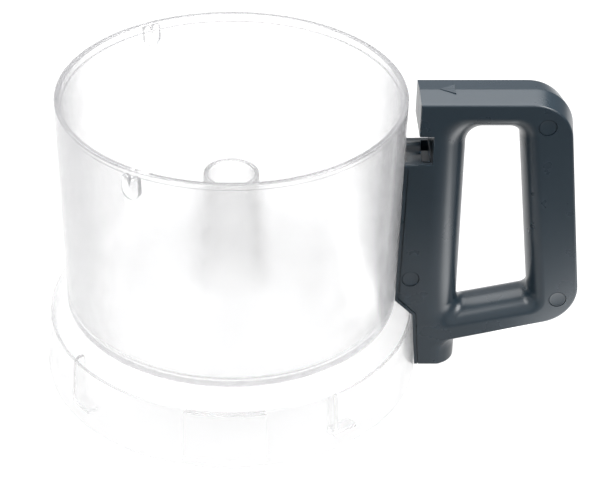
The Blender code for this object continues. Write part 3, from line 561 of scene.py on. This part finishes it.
def catch_mesh(azimuth):
    """A horseshoe nub: a plate with a round lower end and a slot open at its top."""
    root = wall_radius(BOWL_HEIGHT - CATCH_HEIGHT) - RIM_WALL / 2
    proud = RIM_RADIUS + CATCH_PROUD
    edge = 0.6 * MM
    stations = ((root, 0.0), (proud - edge, 0.0), (proud - 0.3 * edge, 0.3 * edge), (proud, edge))
    loops = [[(r, x, z) for x, z in catch_outline(inset)] for r, inset in stations]
    mesh = loft_mesh("catch", loops)
    mesh.transform(Matrix.Rotation(math.radians(azimuth), 4, "Z"))
    return mesh


def skirt_section(z, inwards):
    face = skirt_inner_radius(z)
    return face - inwards, face + SKIRT_WALL / 2, z


def bayonet_meshes(azimuth):
    low = BAYONET_LEDGE_Z
    top = FLOOR_HEIGHT - SHOULDER_DROP
    inner = skirt_inner_radius(top) - BAYONET_REACH
    ledge_top = low + BAYONET_LEDGE
    foot = skirt_section(low, skirt_inner_radius(low) - inner)
    head = skirt_section(ledge_top, skirt_inner_radius(ledge_top) - inner)
    rib_angle = math.degrees(BAYONET_RIB / SKIRT_RADIUS)
    rib = wedge_mesh("bayonet_rib", azimuth, rib_angle, foot, skirt_section(top, BAYONET_REACH), 1)
    ledge = wedge_mesh("bayonet_ledge", azimuth, BAYONET_LEDGE_ANGLE, foot, head, 6)
    return [rib, ledge]


def pad_mesh(azimuth):
    top = FLOOR_HEIGHT - SHOULDER_DROP - PAD_BOTTOM
    return wedge_mesh("skirt_pad", azimuth - PAD_ANGLE / 2, PAD_ANGLE,
                      skirt_section(PAD_BOTTOM, PAD_THICKNESS),
                      skirt_section(top, PAD_THICKNESS), 18)


def bowl_mesh():
    steps = [("UNION", catch_mesh(azimuth)) for azimuth in CATCH_AZIMUTHS]
    for azimuth in BAYONET_AZIMUTHS:
        steps += [("UNION", mesh) for mesh in bayonet_meshes(azimuth)]
    steps += [("UNION", pad_mesh(azimuth)) for azimuth in PAD_AZIMUTHS]
    web = box_mesh("web", (WALL_FOOT_RADIUS - BOWL_WALL / 2, -WEB_HALF, WEB_BOTTOM),
                   (WEB_REACH, WEB_HALF, WEB_TOP))
    steps.append(("UNION", web))
    column = SCREW_PLACES[2]
    steps.append(("DIFFERENCE", cross_rod_mesh("web_screw_hole", SCREW_SHANK + GAP, -2 * WEB_HALF,
                                               2 * WEB_HALF, column[1], column[2])))
    steps.append(("DIFFERENCE", cross_rod_mesh("web_peg_hole", PEG_RADIUS + GAP, -2 * WEB_HALF,
                                               2 * WEB_HALF, PEG_X, PEG_Z)))
    return carve(turned_mesh("clear_bowl", bowl_profile(), BOWL_STEPS), steps)


def make_bowl():
    piece = add_piece("clear_bowl", bowl_mesh(), CLEAR, degrees=25.0)
    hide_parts("bowl")


# ---------------------------------------------------------------- handle


def underside(x, crown):
    return UNDERSIDE_Z - crown + (x - UNDERSIDE_X) * UNDERSIDE_RISE


def grip_edge(z, crown):
    return GRIP_TOP_X + crown + (HANDLE_TOP - z) * GRIP_LEAN


def crown_at(y):
    return HANDLE_CROWN * (1.0 - abs(y) / HANDLE_HALF)


def handle_corners(y):
    """Corners (x, z, radius) of the handle's outline in the plane at distance y from the seam."""
    y = min(abs(y), HANDLE_HALF)
    crown = crown_at(y)
    foot = FOOT_X + math.sqrt(HANDLE_HALF ** 2 - y ** 2)
    top = HANDLE_TOP + crown
    low_x = GRIP_TOP_X + crown + GRIP_LEAN * (HANDLE_TOP - underside(0.0, crown))
    low_x /= 1.0 + GRIP_LEAN * UNDERSIDE_RISE
    inside = WALL_FOOT_RADIUS - 10.0 * MM
    return [
        (inside, FOOT_BOTTOM, 0.0),
        (foot, FOOT_BOTTOM, 0.0),
        (foot, underside(foot, crown), FOOT_FILLET),
        (low_x, underside(low_x, crown), BOTTOM_CORNER),
        (grip_edge(top, crown), top, TOP_CORNER),
        (ARM_END, top, 0.0),
        (ARM_END, NOTCH_FLOOR, 0.0),
        (inside, NOTCH_FLOOR, 0.0),
    ]


def hole_corners(y):
    """Corners of the finger hole in the plane at distance y, with its edges rounded over."""
    y = min(abs(y), HANDLE_HALF)
    spread = 1.0 - math.sqrt(1.0 - (y / HANDLE_HALF) ** 2)
    left = HOLE_ROUND_LEFT * spread
    right = HOLE_ROUND_RIGHT * spread
    top = HOLE_TOP + HOLE_ROUND_TOP * spread
    grow = HOLE_CORNER_GROWTH * spread
    low = HOLE_BOTTOM - HOLE_ROUND_BOTTOM * spread
    bottom_left = low - left * HOLE_BOTTOM_RISE
    lean = HOLE_RIGHT_TOP + right + GRIP_LEAN * (HOLE_TOP - low)
    right_x = lean + GRIP_LEAN * HOLE_BOTTOM_RISE * HOLE_LEFT_BOTTOM
    right_x /= 1.0 + GRIP_LEAN * HOLE_BOTTOM_RISE
    radii = [radius + grow for radius in HOLE_CORNERS]
    return [
        (HOLE_LEFT_BOTTOM - left, bottom_left, radii[0]),
        (right_x, low + (right_x - HOLE_LEFT_BOTTOM) * HOLE_BOTTOM_RISE, radii[1]),
        (HOLE_RIGHT_TOP + right - GRIP_LEAN * (top - HOLE_TOP), top, radii[2]),
        (HOLE_LEFT_TOP - left, top, radii[3]),
    ]


def handle_blank(name, side):
    """Half of the handle, with its face edge and its seam edge rounded."""
    stations = []
    for i in range(5):
        turn = math.radians(22.5 * i)
        stations.append((HANDLE_HALF - EDGE_ROUND * (1.0 - math.cos(turn)),
                         EDGE_ROUND * (1.0 - math.sin(turn))))
    stations += [(HANDLE_HALF * math.cos(math.radians(a)), 0.0) for a in range(35, 89, 9)]
    for i in range(4):
        turn = math.radians(30.0 * i)
        stations.append((SEAM_HALF + SEAM_ROUND * (1.0 - math.sin(turn)),
                         SEAM_ROUND * (1.0 - math.cos(turn)) * 0.5))
    loops = [at_plane(rounded_loop(handle_corners(y), inset, 14), side * y)
             for y, inset in stations]
    return loft_mesh(name, loops)


def hole_cutter(side):
    planes = [HANDLE_HALF * math.cos(math.radians(90.0 * i / 20)) for i in range(20)]
    loops = [at_plane(rounded_loop(hole_corners(y), 0.0, 14), side * y) for y in planes]
    loops.insert(0, at_plane(rounded_loop(hole_corners(HANDLE_HALF), 0.0, 14),
                             side * HANDLE_HALF * 1.4))
    loops.append(at_plane(rounded_loop(hole_corners(0.0), 0.0, 14), -side * 2.0 * MM))
    return loft_mesh("finger_hole", loops)


def notch_mesh(extra):
    """The lid notch as a block, larger by extra towards the grip and upwards."""
    outline = rounded_loop([
        (WALL_FOOT_RADIUS - 10 * MM, NOTCH_FLOOR - extra, 0.0),
        (NOTCH_DEPTH_X + extra, NOTCH_FLOOR - extra, 0.0),
        (NOTCH_DEPTH_X + extra, NOTCH_ROOF + extra, 0.0),
        (ARM_END, NOTCH_ROOF + extra, 0.0),
        (WALL_FOOT_RADIUS - 10 * MM, NOTCH_ROOF + 2 * ARM_END_ROUND + extra, 0.0)])
    return loft_mesh("notch", [at_plane(outline, y) for y in (-2 * HANDLE_HALF, 2 * HANDLE_HALF)])


def cavity_blank(side):
    start = HANDLE_HALF - HANDLE_WALL
    planes = [side * start * (1.0 - i / 3) for i in range(3)] + [-side * 2.0 * MM]
    loops = [at_plane(rounded_loop(handle_corners(y), HANDLE_WALL, 8), y) for y in planes]
    return loft_mesh("cavity", loops)


def hole_island(side):
    start = HANDLE_HALF - HANDLE_WALL
    loops = []
    for share in (1.2, 1.0, 0.97, 0.9, 0.75, 0.5, 0.25, 0.0):
        y = start * share
        corners = hole_corners(min(y + HANDLE_WALL, HANDLE_HALF))
        loops.append(at_plane(rounded_loop(corners, -0.7 * HANDLE_WALL, 8), side * y))
    loops.append([(x, -side * 3.0 * MM, z) for x, _, z in loops[-1]])
    return loft_mesh("island", loops)


def envelope_mesh(offset):
    """The bowl's outer form as a closed solid, moved outwards by offset."""
    over = 30.0 * MM
    core = 20.0 * MM
    shoulder = FLOOR_HEIGHT - SHOULDER_DROP
    profile = [
        (RIM_RADIUS + offset, BOWL_HEIGHT + over),
        (RIM_RADIUS + offset, BOWL_HEIGHT),
        (WALL_FOOT_RADIUS + offset, FLOOR_HEIGHT + offset * 0.4),
        (SKIRT_TOP_RADIUS + offset, shoulder + offset * 0.4),
        (SKIRT_RADIUS + offset, 0.0),
        (SKIRT_RADIUS + offset, -over),
        (core, -over),
        (core, BOWL_HEIGHT + over),
    ]
    return turned_mesh("envelope", profile, 192)


def cavity_mesh(side):
    foot = box_mesh("foot_fill", (INWARD_X, -50 * MM, -20 * MM),
                    (COLUMN_END_X, 50 * MM, FOOT_SOLID_TOP))
    return carve(cavity_blank(side), [
        ("DIFFERENCE", notch_mesh(HANDLE_WALL)),
        ("DIFFERENCE", hole_island(side)),
        ("DIFFERENCE", envelope_mesh(GAP + HANDLE_WALL)),
        ("DIFFERENCE", foot),
    ])


def groove_mesh(side):
    """The narrow groove that runs along the bowl in the side face."""
    low, high = sorted((side * (HANDLE_HALF - GROOVE_DEPTH), side * HANDLE_HALF * 1.3))
    slab = box_mesh("groove", (INWARD_X, low, -5 * MM), (COLUMN_END_X, high, GROOVE_TOP))
    return carve(slab, [("INTERSECT", envelope_mesh(GAP + GROOVE_INSET + GROOVE_WIDTH)),
                        ("DIFFERENCE", envelope_mesh(GAP + GROOVE_INSET))])


def arrow_mesh(side):
    """Half of the small raised arrow on the ridge, pointing at the bowl and tilted forwards."""
    y0 = side * SEAM_HALF
    y1 = side * ARROW_HALF
    plan = ((ARROW_TIP_X, y0), (ARROW_TAIL_X - ARROW_NOTCH, y0), (ARROW_TAIL_X, y1))
    top = HANDLE_TOP + HANDLE_CROWN + ARROW_PROUD
    return loft_mesh("arrow", [[(x, y, top + y * ARROW_TILT - depth) for x, y in plan]
                               for depth in (3 * MM, 0.0)])


def inner_steps(side):
    """Bosses and the guide plate inside a half."""
    steps = []
    wide = side * (HANDLE_HALF - 1.0 * MM)
    for place, x, z in SCREW_PLACES:
        end = WEB_HALF + GAP if place == "column" else GAP / 2
        low, high = sorted((wide, side * end))
        steps.append(("UNION", cross_rod_mesh("boss", BOSS_RADIUS, low, high, x, z)))
    low, high = sorted((wide, side * GAP / 2))
    guide = box_mesh("guide", (WEB_REACH + 2 * GAP, low, GUIDE_Z),
                     (HOLE_LEFT_TOP - 1.0 * MM, high, GUIDE_Z + GUIDE_THICKNESS))
    steps.append(("UNION", guide))
    return steps


def opening_steps():
    """The web's slot, the slider's trough and the bores on the rod's axis."""
    wide = HANDLE_HALF - HANDLE_WALL
    return [("DIFFERENCE", mesh) for mesh in (
        box_mesh("web_slot", (INWARD_X, -WEB_HALF - GAP, WEB_BOTTOM - GAP),
                 (WEB_REACH + GAP, WEB_HALF + GAP, WEB_TOP + GAP)),
        box_mesh("trough", (INWARD_X, -wide, WEB_TOP + GAP),
                 (TROUGH_X, wide, NOTCH_FLOOR + 5 * MM)),
        rod_mesh("tip_bore", TIP_RADIUS + GAP, -5 * MM, BUSH_LEDGE + GAP, ROD_X),
        rod_mesh("bush_pocket", BUSH_RADIUS + GAP, BUSH_LEDGE, FOOT_SOLID_TOP + 1 * MM, ROD_X),
        rod_mesh("guide_bore", GUIDE_NECK + GAP, GUIDE_Z - 1 * MM,
                 GUIDE_Z + GUIDE_THICKNESS + 1 * MM, ROD_X),
    )]


def plug_face():
    return HANDLE_HALF - PLUG_SINK


def screw_head_face():
    return plug_face() - PLUG_THICKNESS - GAP


def front_steps():
    steps = []
    under_plug = screw_head_face() + GAP / 2
    under_head = screw_head_face() - SCREW_HEAD_HEIGHT - GAP
    for _, x, z in SCREW_PLACES:
        for radius, low, high in (
                (PLUG_RADIUS + PLUG_SEAT_GAP, -HANDLE_HALF - 2 * MM, -under_plug),
                (SCREW_HEAD + GAP, -under_plug - GAP, -under_head),
                (SCREW_SHANK + GAP, -under_head - GAP, 1 * MM)):
            steps.append(("DIFFERENCE", cross_rod_mesh("bore", radius, low, high, x, z, 64)))
    return steps


def rear_steps():
    tip = -screw_head_face() + SCREW_HEAD_HEIGHT + SCREW_LENGTH + 2 * GAP
    steps = [("DIFFERENCE", cross_rod_mesh("pilot", SCREW_SHANK + GAP, -1 * MM, tip, x, z))
             for _, x, z in SCREW_PLACES]
    peg = cross_rod_mesh("peg", PEG_RADIUS, -WEB_HALF, HANDLE_HALF - 1 * MM, PEG_X, PEG_Z)
    return steps + [("UNION", peg)]


def make_shell(name, side, node):
    steps = [("DIFFERENCE", cavity_mesh(side))]
    steps += inner_steps(side)
    steps.append(("UNION", arrow_mesh(side)))
    steps.append(("DIFFERENCE", hole_cutter(side)))
    steps.append(("DIFFERENCE", envelope_mesh(GAP)))
    steps.append(("DIFFERENCE", notch_mesh(0.0)))
    steps.append(("DIFFERENCE", groove_mesh(side)))
    steps += opening_steps()
    steps += front_steps() if side < 0 else rear_steps()
    piece = add_piece(name, carve(handle_blank(name, side), steps), SLATE)
    weigh_normals(piece)
    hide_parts(node)


def make_plug(place, x, z):
    """A press-in plug with a shallow dished face and a rounded edge."""
    edge = 0.3 * MM
    profile = [(0.0, 0.0), (PLUG_RADIUS, 0.0)]
    profile += arc((PLUG_RADIUS - edge, PLUG_THICKNESS - edge), edge, 0, 90, 4)
    profile += [(PLUG_RADIUS - 0.7 * MM, PLUG_THICKNESS),
                (PLUG_RADIUS - 1.0 * MM, PLUG_THICKNESS - 0.12 * MM),
                (0.0, PLUG_THICKNESS - 0.12 * MM)]
    mesh = turned_mesh("plug_cap_" + place, profile, 64, "Y")
    mesh.transform(Matrix.Translation((x, -plug_face() + PLUG_THICKNESS, z)))
    piece = add_piece("plug_cap_" + place, mesh, SLATE)
    weigh_normals(piece)
    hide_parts("plug_" + place)


def head_profile(inset):
    """The cam head across the handle: a ramp from the landing up to a round crest."""
    wide = HANDLE_HALF - HANDLE_WALL - 2 * GAP
    low = NOTCH_FLOOR - HANDLE_WALL - GAP - SLIDER_PLATE
    crest = (wide - HEAD_CREST_RADIUS - HEAD_CREST_INSET, HEAD_CREST - HEAD_CREST_RADIUS)
    radius = HEAD_CREST_RADIUS
    corners = [
        (-wide, low, 0.3 * MM),
        (wide, low, 0.3 * MM),
        (wide, crest[1], 2.0 * MM),
        (crest[0] + radius, HEAD_CREST, radius),
        (crest[0] - radius, HEAD_CREST, radius),
        (0.6 * MM, HEAD_LANDING, 2.5 * MM),
        (-wide, HEAD_LANDING - 0.8 * MM, 1.2 * MM),
    ]
    return rounded_loop(corners, inset, 8)


def slider_mesh():
    """The interlock's cam head with rounded edges, its plate and the socket for the rod."""
    top = NOTCH_FLOOR - HANDLE_WALL - GAP
    low = top - SLIDER_BOSS_LENGTH
    edge = 0.4 * MM
    stations = ((HEAD_NEAR, edge), (HEAD_NEAR + 0.3 * edge, 0.3 * edge), (HEAD_NEAR + edge, 0.0),
                (HEAD_FAR - edge, 0.0), (HEAD_FAR - 0.3 * edge, 0.3 * edge), (HEAD_FAR, edge))
    head = loft_mesh("cam_slider", [[(x, y, z) for y, z in head_profile(inset)]
                                    for x, inset in stations])
    plate = box_mesh("plate", (HEAD_NEAR + 2 * MM, -SLIDER_PLATE_HALF, top - SLIDER_PLATE),
                     (ROD_X + 2 * MM, SLIDER_PLATE_HALF, top))
    pin_hole = cross_rod_mesh("pin_hole", PIN_HOLE_RADIUS, -2 * SLIDER_BOSS_RADIUS,
                              2 * SLIDER_BOSS_RADIUS, ROD_X, top - PIN_DROP)
    return carve(head, [
        ("UNION", plate),
        ("UNION", rod_mesh("boss", SLIDER_BOSS_RADIUS, low, top, ROD_X)),
        ("DIFFERENCE", rod_mesh("socket", SOCKET_RADIUS, low - 1 * MM, low + SOCKET_DEPTH, ROD_X)),
        ("DIFFERENCE", pin_hole),
    ])


def make_slider():
    piece = add_piece("cam_slider", slider_mesh(), SLATE, SLIDING)
    weigh_normals(piece)
    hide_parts("interlock_slider")


def make_spring():
    """The coil spring, copied in place from the model, with a steel finish."""
    piece = bpy.data.objects.new("coil_spring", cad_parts["return_spring"].data.copy())
    piece.matrix_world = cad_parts["return_spring"].matrix_world.copy()
    bpy.context.scene.collection.objects.link(piece)
    piece.data.materials.clear()
    piece.data.materials.append(STEEL)
    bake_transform(piece)
    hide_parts("return_spring")


# ---------------------------------------------------------------- CAD nodes that stay

NODE_FINISH = {
    "screw_upper_grip": STEEL,
    "screw_lower_grip": STEEL,
    "screw_column": STEEL,
    "cross_pin": STEEL,
    "push_rod": STEEL,
    "retaining_clip": STEEL,
    "spring_washer": STEEL,
    "spring_seat": STEEL,
    "plunger_tip": WHITE,
    "upper_guide_bush": WHITE,
    "foot_guide_bush": WHITE,
    "foot_seal": RUBBER,
}


def finish_nodes():
    for node, finish in NODE_FINISH.items():
        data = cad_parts[node].data
        data.materials.clear()
        data.materials.append(finish)


# ---------------------------------------------------------------- stage


def painted_glow_table_finish():
    """Pale table that glows beside and behind the object, with a painted bright strip of light on
    the right.

    The glow falls off towards the camera as painted shade, so that the handle's upright faces stay
    dark.
    Under and behind the object the glow is stronger, painted light that washes out the object's
    shadow, and far behind it fades. The strip is painted light, seen in reflection on the handle.
    """
    made, tree, shader = new_material("pale_table_painted_glow")
    vary_colour(tree, add_noise(tree, 3.0, 2.0), shader, (0.078, 0.078, 0.079),
                (0.082, 0.082, 0.083))
    shader.inputs["Roughness"].default_value = 0.9
    shader.inputs["Specular IOR Level"].default_value = 0.0
    shader.inputs["Emission Color"].default_value = (1.0, 1.0, 1.0, 1.0)
    where = tree.nodes.new("ShaderNodeTexCoord")
    split = tree.nodes.new("ShaderNodeSeparateXYZ")
    tree.links.new(where.outputs["Object"], split.inputs["Vector"])
    depth, across = split.outputs["Y"], split.outputs["X"]
    # painted shade towards the camera, painted light under and behind the object, fading far behind
    front = falloff(tree, depth, (-0.16, -0.09), (TABLE_PAINTED_GLOW_FRONT, TABLE_GLOW))
    under = falloff(tree, depth, (-0.05, 0.03), (1.0, TABLE_PAINTED_GLOW_BEHIND))
    back = falloff(tree, depth, (0.5, 1.2), (1.0, 0.3))
    # the painted strip of light on the right, seen in reflection on the handle
    slant = tree.nodes.new("ShaderNodeVectorMath")
    slant.operation = "DOT_PRODUCT"
    slant.inputs[1].default_value = PAINTED_STRIP_ACROSS
    tree.links.new(where.outputs["Object"], slant.inputs[0])
    near = falloff(tree, slant.outputs["Value"], (0.02, 0.05), (0.0, PAINTED_STRIP_GLOW))
    far = falloff(tree, slant.outputs["Value"], (0.065, 0.10), (1.0, 0.0))
    right = falloff(tree, across, (0.09, 0.13), (0.0, 1.0))
    end = falloff(tree, depth, (-0.19, -0.13), (0.0, 1.0))
    painted_strip = multiply(tree, near, far, right, end)
    glow = tree.nodes.new("ShaderNodeMath")
    tree.links.new(multiply(tree, front, under, back), glow.inputs[0])
    tree.links.new(painted_strip, glow.inputs[1])
    tree.links.new(glow.outputs["Value"], shader.inputs["Emission Strength"])
    return made


def multiply(tree, first, *others):
    """The product of several numbers of a node tree."""
    for value in others:
        product = tree.nodes.new("ShaderNodeMath")
        product.operation = "MULTIPLY"
        tree.links.new(first, product.inputs[0])
        tree.links.new(value, product.inputs[1])
        first = product.outputs["Value"]
    return first


def falloff(tree, value, span, levels):
    """A smooth change from the first level to the second while value crosses the span."""
    spread = tree.nodes.new("ShaderNodeMapRange")
    spread.interpolation_type = "SMOOTHSTEP"
    spread.inputs["From Min"].default_value = span[0]
    spread.inputs["From Max"].default_value = span[1]
    spread.inputs["To Min"].default_value = levels[0]
    spread.inputs["To Max"].default_value = levels[1]
    tree.links.new(value, spread.inputs["Value"])
    return spread.outputs["Result"]


def make_floor():
    mesh = bpy.data.meshes.new("table")
    corners = [(x * TABLE_HALF, y * TABLE_HALF, 0) for x, y in ((-1, -1), (1, -1), (1, 1), (-1, 1))]
    mesh.from_pydata(corners, [], [(0, 1, 2, 3)])
    mesh.materials.append(painted_glow_table_finish())
    table = bpy.data.objects.new("table", mesh)
    bpy.context.scene.collection.objects.link(table)


def add_softbox(name, place, target, size, radiance):
    """A rectangular light of even radiance, unseen by the camera itself."""
    light = bpy.data.lights.new(name, "AREA")
    light.shape = "RECTANGLE"
    light.size, light.size_y = size
    light.energy = radiance * math.pi * size[0] * size[1]
    lamp = bpy.data.objects.new(name, light)
    lamp.location = place
    aim = Vector(target) - Vector(place)
    lamp.rotation_euler = aim.to_track_quat("-Z", "Y").to_euler()
    lamp.visible_camera = False
    bpy.context.scene.collection.objects.link(lamp)


def make_world():
    """Pale surroundings, dark only behind the object on the right."""
    world = bpy.data.worlds.new("studio")
    world.use_nodes = True
    tree = world.node_tree
    sky = tree.nodes["Background"]
    where = tree.nodes.new("ShaderNodeTexCoord")
    side = tree.nodes.new("ShaderNodeVectorMath")
    side.operation = "DOT_PRODUCT"
    side.inputs[1].default_value = SKY_BRIGHT_SIDE
    tree.links.new(where.outputs["Generated"], side.inputs[0])
    strength = falloff(tree, side.outputs["Value"], (-0.8, 0.2), SKY_LEVELS)
    tree.links.new(strength, sky.inputs["Strength"])
    sky.inputs["Color"].default_value = (0.97, 0.98, 1.0, 1.0)
    bpy.context.scene.world = world


def make_studio():
    make_world()
    bounces = bpy.context.scene.cycles
    bounces.max_bounces = 32
    bounces.glossy_bounces = 24
    bounces.transmission_bounces = 32
    for softbox in SOFTBOXES:
        add_softbox(*softbox)


def make_camera():
    lens = bpy.data.cameras.new("camera")
    lens.lens = CAMERA_LENS
    lens.sensor_width = CAMERA_SENSOR
    lens.shift_x = CAMERA_SHIFT
    camera = bpy.data.objects.new("camera", lens)
    camera.location = CAMERA_PLACE
    camera.rotation_euler = (math.radians(90.0 - CAMERA_DOWN), 0.0, 0.0)
    bpy.context.scene.collection.objects.link(camera)
    bpy.context.scene.camera = camera
    bpy.context.scene.view_settings.view_transform = "Standard"


make_bowl()
make_shell("front_half", -1, "handle_front_shell")
make_shell("rear_half", 1, "handle_rear_shell")
for place_name, place_x, place_z in SCREW_PLACES:
    make_plug(place_name, place_x, place_z)
make_slider()
make_spring()
finish_nodes()
make_floor()
make_studio()
make_camera()
